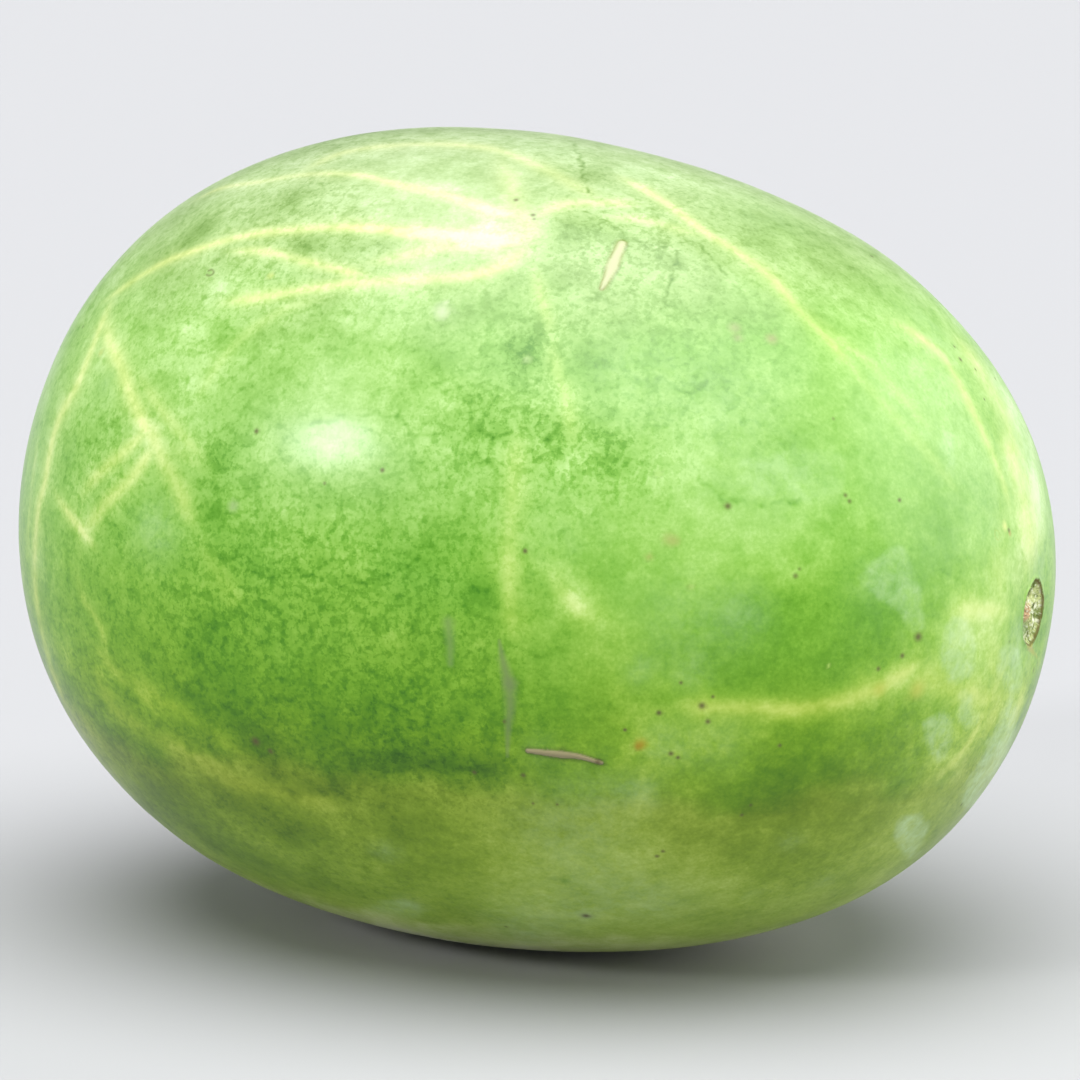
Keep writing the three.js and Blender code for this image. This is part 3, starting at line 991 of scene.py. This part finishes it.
for place, radius, colour in smudges:
    paint(colour, spot_cover(place, radius * 1.1) * 0.6)
for half_width, colour, route in lines:
    paint(colour, 0.85 * (1.6 - gap_to(rows, route)[0] / half_width))
for route, first, last, colour in rubs:
    paint(colour, 0.6 * (1.5 - 1.2 * tapered_gap(rows, route, first, last)))
# Each bit's dark rim: partly its own edge, partly painted shadow, dark green round the twig
for route, first, last, *_, rim_and_shadow_colour in bits:
    paint(rim_and_shadow_colour, 1.3 - tapered_gap(rows, route, first + 0.5, last + 0.5))
for route, first, last, _, colour, _ in bits:
    paint(colour, 3 * (1.15 - tapered_gap(rows, route, first, last)))
for place, radius in specks:
    paint(SOIL_BROWN, spot_cover(place, radius) * 0.8)
print("marks painted on", int((marks[:, 3] > 0.3).sum()), "corners")

# %% Colours of the scar and the button
def scar_colour(colour, cover):
    """Lays a colour over the scar's own colours."""
    share = np.clip(cover, 0, 1)[:, None]
    scar_paint[:] = scar_paint * (1 - share) + on_screen(colour) * share


scar_paint = np.tile(on_screen((196, 206, 138)), (len(cap), 1))
scar_colour((120, 135, 70), 0.5 + 1.4 * coarse)
scar_colour((236, 240, 205), 3.0 * (grain - 0.25))
scar_colour((198, 168, 126), cork * 1.2)
scar_colour((160, 118, 88), cork * (0.3 * ribs + 0.5 * grain + 0.15))
scar_colour((170, 198, 140), hollow)
scar_colour((58, 98, 40), soft_spot(across, up, HOLLOW, 1.8, 1.3) * 1.2)
scar_colour((74, 92, 40), 1.6 * (fibres - 0.22) * (1 - cork))
scar_colour((232, 238, 208), 2.2 * (-0.28 - fibres))
scar_colour((98, 92, 46), 1.3 - np.abs(rim - 0.98) * 18)
# The holes are painted near-black, darkest where they are deepest
scar_colour((34, 28, 26), holes * 1.5)
scar_cover = np.clip((1.06 - rim) * 18, 0, 1)

TAIL = route_on_skin([(1031, 644), (1034, 650), (1039, 657)], 1)
paint((190, 160, 84), 0.7 * (1.3 - tapered_gap(rows, TAIL, 2.0, 0.7)))
share = scar_cover[:, None]
marks[in_cap, :3] = marks[in_cap, :3] * (1 - share) + scar_paint * share
marks[in_cap, 3] = np.maximum(marks[in_cap, 3], scar_cover)

button_share = np.clip(1.5 - spread / 5.2, 0, 1)[:, None]
marks[in_button, :3] = marks[in_button, :3] * (1 - button_share) + on_screen((150, 128, 84)) * button_share
marks[in_button, 3] = np.maximum(marks[in_button, 3], button_share[:, 0])
store("marks", marks)
dry = np.zeros(len(rows))
dry[in_cap] = scar_cover
dry[in_button] = np.maximum(dry[in_button], button_share[:, 0])
store("dry", dry)
print("the scar and button have", int((dry > 0.5).sum()), "dry corners")

# %% [markdown]
# ## The rind's material
#
# A watermelon's skin is a thin clear wax over green tissue. Up close the green is a net of soft dark
# flecks over a paler ground, with pale clouds, mint-coloured wax and cream veins. Some colour is painted
# light: shade low on the sides, light from below at the bottom, and a highlight, sheen and reflections in
# the wax. Each layer is a few nodes, mixed in turn over the last, from the broad tones to the painted
# marks.

# %% Helpers for nodes
def add_node(tree, kind, inputs=None, **settings):
    """Adds a node, sets it up, and links or sets its inputs by name or number."""
    made = tree.nodes.new(kind)
    for name, value in settings.items():
        setattr(made, name, value)
    for name, value in (inputs or {}).items():
        if isinstance(value, bpy.types.NodeSocket):
            tree.links.new(value, made.inputs[name])
        else:
            made.inputs[name].default_value = value
    return made


def calculate(tree, operation, first, second=0.0, clamp=False):
    made = add_node(tree, "ShaderNodeMath", {0: first, 1: second}, operation=operation, use_clamp=clamp)
    return made.outputs[0]


def added(tree, value, share, more):
    """The value with a share of another added."""
    made = add_node(tree, "ShaderNodeMath", {0: more, 1: share, 2: value}, operation="MULTIPLY_ADD")
    return made.outputs[0]


def noise_at(tree, place, size, detail=3.0, roughness=0.5, distortion=0.0):
    """Noise from 0 to 1 whose blobs measure about a size in metres."""
    settings = {"Vector": place, "Scale": 1 / size, "Detail": detail}
    settings |= {"Roughness": roughness, "Distortion": distortion}
    return add_node(tree, "ShaderNodeTexNoise", settings).outputs["Fac"]


def between(tree, value, low, high):
    """0 where the value is below low, 1 where it is above high, and smooth between them."""
    return add_node(tree, "ShaderNodeMapRange", {"Value": value, "From Min": low, "From Max": high},
                    interpolation_type="SMOOTHSTEP").outputs["Result"]


def ranged(tree, value, low, high, from_low=0.0, from_high=1.0):
    """The value spread from one range over another."""
    settings = {"Value": value, "From Min": from_low, "From Max": from_high, "To Min": low, "To Max": high}
    return add_node(tree, "ShaderNodeMapRange", settings).outputs["Result"]


def mixed(tree, share, under, over):
    """One colour laid over another by a share."""
    mix = add_node(tree, "ShaderNodeMix", {0: share, 6: under, 7: over}, data_type="RGBA")
    return mix.outputs[2]


def screen(*colour):
    return (*on_screen(colour), 1.0)


# %% Flecks, as a node group
NET_SCALE = 0.24
NET_WARP = 2.6
NET_SHARE = 0.10
AMOUNT_SHARE = 0.11
FLECK_EDGE = (0.60, 0.73)


def build_flecks():
    """Scattered soft flecks strung along a loose net, at a size and for a share of the surface."""
    group = bpy.data.node_groups.new("soft flecks", "ShaderNodeTree")
    group.interface.new_socket("Place", in_out="INPUT", socket_type="NodeSocketVector")
    group.interface.new_socket("Fineness", in_out="INPUT", socket_type="NodeSocketFloat")
    group.interface.new_socket("Amount", in_out="INPUT", socket_type="NodeSocketFloat")
    group.interface.new_socket("Flecks", in_out="OUTPUT", socket_type="NodeSocketFloat")
    ends = group.nodes.new("NodeGroupInput")
    place, fineness, amount = ends.outputs[0], ends.outputs[1], ends.outputs[2]
    scaled = add_node(group, "ShaderNodeVectorMath", {0: place, "Scale": fineness}, operation="SCALE")
    scaled = scaled.outputs[0]
    warp = add_node(group, "ShaderNodeTexNoise", {"Vector": scaled, "Scale": 0.35, "Detail": 2.0})
    bent = {0: warp.outputs["Color"], 1: (NET_WARP, NET_WARP, NET_WARP), 2: scaled}
    warped = add_node(group, "ShaderNodeVectorMath", bent, operation="MULTIPLY_ADD").outputs[0]
    cells = add_node(group, "ShaderNodeTexVoronoi", {"Vector": warped, "Scale": NET_SCALE},
                     feature="DISTANCE_TO_EDGE")
    net = between(group, cells.outputs["Distance"], 0.13, 0.0)
    spots = noise_at(group, scaled, 1.0, 3.0, 0.62)
    level = added(group, spots, NET_SHARE, net)
    raised = added(group, level, AMOUNT_SHARE, amount)
    flecks = between(group, raised, *FLECK_EDGE)
    finish = group.nodes.new("NodeGroupOutput")
    group.links.new(flecks, finish.inputs[0])
    return group


flecks_group = build_flecks()


def flecks_at(tree, place, size, amount):
    made = add_node(tree, "ShaderNodeGroup", node_tree=flecks_group)
    tree.links.new(place, made.inputs["Place"])
    made.inputs["Fineness"].default_value = 1 / size
    if isinstance(amount, bpy.types.NodeSocket):
        tree.links.new(amount, made.inputs["Amount"])
    else:
        made.inputs["Amount"].default_value = amount
    return made.outputs["Flecks"]


# %% Rind material
# The skin's colour by height above the ground, in millimetres: yellow olive where it lay, fresh green on
# the sides and milky green on top. It also holds painted light: painted reflected light from below in the
# near-white bottom rim, painted shade in the darker olive band low on the sides, and, partly, painted
# sheen in the greyer green on top
SKIN_AND_SHADING_BY_HEIGHT = [
    (0, (248, 252, 220)), (12, (214, 230, 146)), (25, (158, 188, 66)), (50, (130, 161, 38)),
    (77, (124, 152, 34)), (85, (100, 141, 14)), (102, (98, 146, 12)), (120, (108, 159, 30)),
    (140, (119, 170, 50)), (160, (128, 178, 70)), (185, (140, 184, 92)), (220, (142, 182, 98)),
    (245, (150, 178, 114)), (285, (154, 174, 126)),
]
FRUIT_HEIGHT = 285
# What thickens or thins the green, by size in metres and share, then the tints, the wax and the gloss
CLOUD_SIZE = 34 * MM
CLOUD_SHARE = 0.7
STREAK_SIZE = 6 * MM
STREAK_SHARE = 0.4
DRAWN_OUT = (0.45, 1.0, 1.0)
GRAINS = ((9 * MM, 0.5), (3 * MM, 0.38), (1.1 * MM, 0.4))
FLECK_LAYERS = ((3.8 * MM, 0.38), (1.7 * MM, 0.36))
VEIN_THINS = 0.52
THINNEST = 0.28
VEIN_TINT = (1.0, 0.93, 0.62, 1.0)
WAX_COLOUR = (186, 214, 162)
WAX_SIZE = 5 * MM
HAZE_SIZE = 12 * MM
PORE_SIZE = 0.7 * MM
DENT_SIZE = 6 * MM
GLOSS = (0.28, 0.42)
COAT = 0.25


def build_rind():
    material = bpy.data.materials.new("waxy rind")
    material.use_nodes = True
    tree = material.node_tree
    tree.nodes.clear()
    place = add_node(tree, "ShaderNodeTexCoord").outputs["Object"]

    def known(name, output="Fac"):
        return add_node(tree, "ShaderNodeAttribute", attribute_name=name).outputs[output]

    def plus(value, share, more):
        """The value with a share of another added."""
        return added(tree, value, share, more)

    # The skin's colour by height, with its painted shade and light, and a wavy edge to the ground side
    clouds = noise_at(tree, place, CLOUD_SIZE, 3.0, 0.55, 0.3)
    height = add_node(tree, "ShaderNodeSeparateXYZ", {0: place}).outputs["Z"]
    wavy = plus(height, 0.03, calculate(tree, "SUBTRACT", clouds, 0.5))
    share = calculate(tree, "DIVIDE", wavy, FRUIT_HEIGHT * MM)
    skin = add_node(tree, "ShaderNodeValToRGB", {"Fac": share})
    stops = skin.color_ramp.elements
    while len(stops) < len(SKIN_AND_SHADING_BY_HEIGHT):
        stops.new(0.5)
    for stop, (level, colour) in zip(stops, SKIN_AND_SHADING_BY_HEIGHT):
        stop.position = level / FRUIT_HEIGHT
        stop.color = screen(*colour)

    # How thick the green layer is, with its painted shade and highlight: clouds, blots and grain, all
    # weaker on the veins
    veins_here = known("veins")
    bare = calculate(tree, "SUBTRACT", 1.0, calculate(tree, "MULTIPLY", veins_here, 0.6))
    drawn_out = add_node(tree, "ShaderNodeVectorMath", {0: place, 1: DRAWN_OUT}, operation="MULTIPLY")
    streaky = noise_at(tree, drawn_out.outputs[0], STREAK_SIZE, 4.0, 0.6, 0.3)
    thick_and_shading = plus(known("thickness_and_shading"), CLOUD_SHARE, calculate(tree, "SUBTRACT", clouds, 0.5))
    thick_and_shading = plus(thick_and_shading, STREAK_SHARE, calculate(tree, "SUBTRACT", streaky, 0.5))
    for size, weight in GRAINS:
        grain = calculate(tree, "SUBTRACT", noise_at(tree, place, size, 3.0, 0.55), 0.5)
        thick_and_shading = plus(thick_and_shading, weight, calculate(tree, "MULTIPLY", grain, bare))

    # Dark flecks thicken it and veins thin it
    flecked = known("flecks")
    amount = calculate(tree, "MULTIPLY", flecked, bare)
    for size, weight in FLECK_LAYERS:
        layer = calculate(tree, "MULTIPLY", flecks_at(tree, place, size, flecked), amount)
        thick_and_shading = plus(thick_and_shading, weight, layer)
    frayed = ranged(tree, noise_at(tree, place, 4 * MM, 3.0, 0.6), 0.85, 1.15, 0.3, 0.7)
    thick_and_shading = plus(thick_and_shading, -VEIN_THINS, calculate(tree, "MULTIPLY", veins_here, frayed))
    thick_and_shading = add_node(tree, "ShaderNodeMath", {0: thick_and_shading, 1: THINNEST, 2: 0.3}, operation="SMOOTH_MAX")
    colour = add_node(tree, "ShaderNodeGamma", {"Color": skin.outputs["Color"], "Gamma": thick_and_shading.outputs[0]})

    # Veins are yellower than thin green
    tinted = calculate(tree, "MULTIPLY", veins_here, 1.0, clamp=True)
    colour = add_node(tree, "ShaderNodeMix", {0: tinted, 6: colour.outputs[0], 7: VEIN_TINT},
                      data_type="RGBA", blend_type="MULTIPLY").outputs[2]

    # Milky wax with its painted highlight, sheen and reflections, then the painted marks
    streaks = ranged(tree, noise_at(tree, place, WAX_SIZE, 4.0, 0.65, 0.4), 0.15, 0.75, 0.3, 0.7)
    wax_and_reflections = calculate(tree, "MULTIPLY", known("wax_and_reflections"), streaks, clamp=True)
    colour = mixed(tree, wax_and_reflections, colour, screen(*WAX_COLOUR))
    colour = mixed(tree, known("marks", "Alpha"), colour, known("marks", "Color"))

    # Wax gloss, uneven, and none where the tissue is dry
    dry = known("dry")
    gloss = ranged(tree, noise_at(tree, place, HAZE_SIZE, 4.0, 0.6), *GLOSS)
    gloss = plus(plus(plus(gloss, 0.1, wax_and_reflections), 0.45, dry), 0.15, known("marks", "Alpha"))
    wet = calculate(tree, "MULTIPLY", calculate(tree, "SUBTRACT", 1.0, dry), COAT)

    # Skin grain: pores and faint dents
    pores = noise_at(tree, place, PORE_SIZE, 2.0, 0.5)
    dents = noise_at(tree, place, DENT_SIZE, 3.0, 0.5)
    relief = plus(pores, 3.0, dents)
    bump = add_node(tree, "ShaderNodeBump", {"Strength": 0.18, "Distance": 0.1 * MM, "Height": relief})

    shader = add_node(tree, "ShaderNodeBsdfPrincipled", {
        "Base Color": colour, "Roughness": gloss, "Specular IOR Level": 0.22, "Coat Weight": wet,
        "Coat Roughness": 0.16, "Normal": bump.outputs["Normal"]})
    finish = add_node(tree, "ShaderNodeOutputMaterial")
    tree.links.new(shader.outputs[0], finish.inputs["Surface"])
    return material


rind.data.materials.append(build_rind())
print("the rind's material has", len(rind.data.materials[0].node_tree.nodes), "nodes")

# %% [markdown]
# ## The studio
#
# The photograph has soft daylight from above and a bright window high on the left, which makes the round
# soft highlight. A sun with a wide angle gives the same even light at any distance, so the pale floor
# stays even up to the horizon. The window is placed by mirroring the camera's ray at the highlight's
# pixel.

# %% Floor and world
FLOOR_RADIUS = 25
FLOOR_SHADE = 0.385
FLOOR_COLOR = (FLOOR_SHADE, FLOOR_SHADE * 1.005, FLOOR_SHADE * 1.03, 1.0)
HORIZON_COLOR = (0.80, 0.82, 0.86, 1.0)
SKY_COLOR = (0.23, 0.24, 0.26, 1.0)
HORIZON_HEIGHT = 0.1

bpy.ops.object.select_all(action="DESELECT")
bpy.ops.mesh.primitive_circle_add(vertices=96, radius=FLOOR_RADIUS, fill_type="NGON", location=(0, 0, 0))
floor = bpy.context.object
floor.name = "floor"
floor_material = bpy.data.materials.new("pale floor")
floor_material.use_nodes = True
floor_shader = floor_material.node_tree.nodes["Principled BSDF"]
floor_shader.inputs["Base Color"].default_value = FLOOR_COLOR
floor_shader.inputs["Roughness"].default_value = 0.9
floor_shader.inputs["Specular IOR Level"].default_value = 0.1
floor.data.materials.append(floor_material)
floor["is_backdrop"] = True

world = bpy.data.worlds.new("pale sky")
bpy.context.scene.world = world
world.use_nodes = True
sky_tree = world.node_tree
direction = add_node(sky_tree, "ShaderNodeTexCoord").outputs["Generated"]
height = add_node(sky_tree, "ShaderNodeSeparateXYZ", {0: direction}).outputs["Z"]
sky_color = mixed(sky_tree, between(sky_tree, height, 0, HORIZON_HEIGHT), HORIZON_COLOR, SKY_COLOR)
sky_tree.links.new(sky_color, sky_tree.nodes["Background"].inputs["Color"])
print("floor of", FLOOR_RADIUS, "m")

# %% Lights
HIGHLIGHT_PIXEL = (330, 440)
WINDOW_STRENGTH = 1.0
WINDOW_ANGLE = 10
OVERHEAD_STRENGTH = 4.85
OVERHEAD_ANGLE = 65
OVERHEAD_FROM = Vector((0.12, -0.23, 1.0))
SIDE_STRENGTH = 2.3
SIDE_ANGLE = 60
SIDE_FROM = camera_right + Vector((0, 0, 0.35))


def add_sun(name, toward, strength, angle):
    """A soft sun that shines from a direction."""
    light = bpy.data.lights.new(name, "SUN")
    light.energy = strength
    light.angle = math.radians(angle)
    lamp = bpy.data.objects.new(name, light)
    bpy.context.scene.collection.objects.link(lamp)
    lamp.rotation_euler = toward.to_track_quat("Z", "Y").to_euler()
    return lamp


highlight = skin_at_pixel(*HIGHLIGHT_PIXEL)
_, highlight_normal, _, _ = guide_tree.find_nearest(highlight)
window_from = (highlight - camera.location).normalized().reflect(highlight_normal)
add_sun("window", window_from, WINDOW_STRENGTH, WINDOW_ANGLE)
add_sun("overhead", OVERHEAD_FROM, OVERHEAD_STRENGTH, OVERHEAD_ANGLE)
add_sun("side", SIDE_FROM, SIDE_STRENGTH, SIDE_ANGLE)
bpy.context.scene.view_settings.view_transform = "Standard"
print("the window shines from", [round(value, 2) for value in window_from])

# %% [markdown]
# ## Finish
#
# The rind stands for the plain solid, which stays in the frame for collision. The guide was only a tool,
# so it goes. The sizes of the two boxes are printed, so that the dressed fruit can be compared with the
# solid.

# %% Hand over the rind
bpy.data.objects.remove(guide)
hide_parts(CAD_NODE)
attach(rind, "root")
visual_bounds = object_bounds()
finished_size = visual_bounds[1] - visual_bounds[0]
print("the finished fruit measures", [round(float(side) * 1000, 1) for side in finished_size], "mm")
